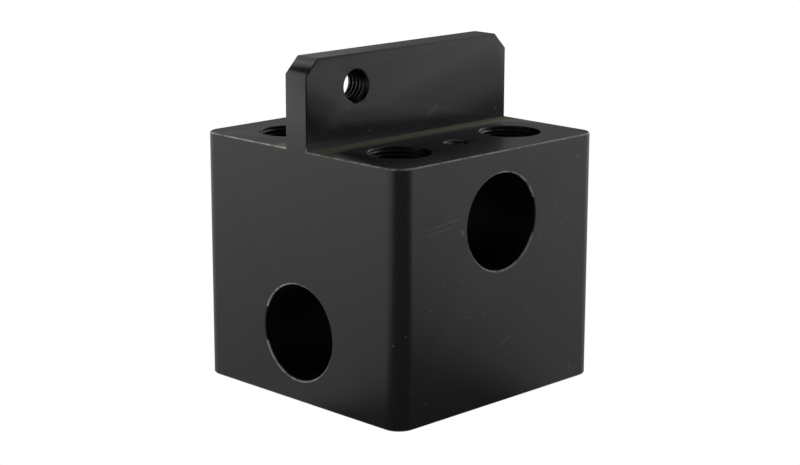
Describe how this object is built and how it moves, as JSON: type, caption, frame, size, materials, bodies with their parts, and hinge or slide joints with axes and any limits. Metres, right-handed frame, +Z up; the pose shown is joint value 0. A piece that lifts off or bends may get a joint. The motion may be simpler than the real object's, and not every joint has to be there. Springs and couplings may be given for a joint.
{
  "type": "machined guide block",
  "caption": "Square anodised aluminium block with crossed plain rod bores, tapped holes in its top and a chamfered fin with a tapped hole.",
  "frame": {"origin": "middle of the bottom face", "axes": "+X along the fin, from the end with its tapped hole to the plain end; +Y across the fin, from the side with the set screw hole to the other; +Z up, out of the top face"},
  "size_m": [0.07, 0.07, 0.085],
  "materials": {
    "anodised_aluminium": "black anodised over fine milling, semi-matt"
  },
  "bodies": {
    "root": {"guide_block": "anodised_aluminium"}
  },
  "joints": []
}
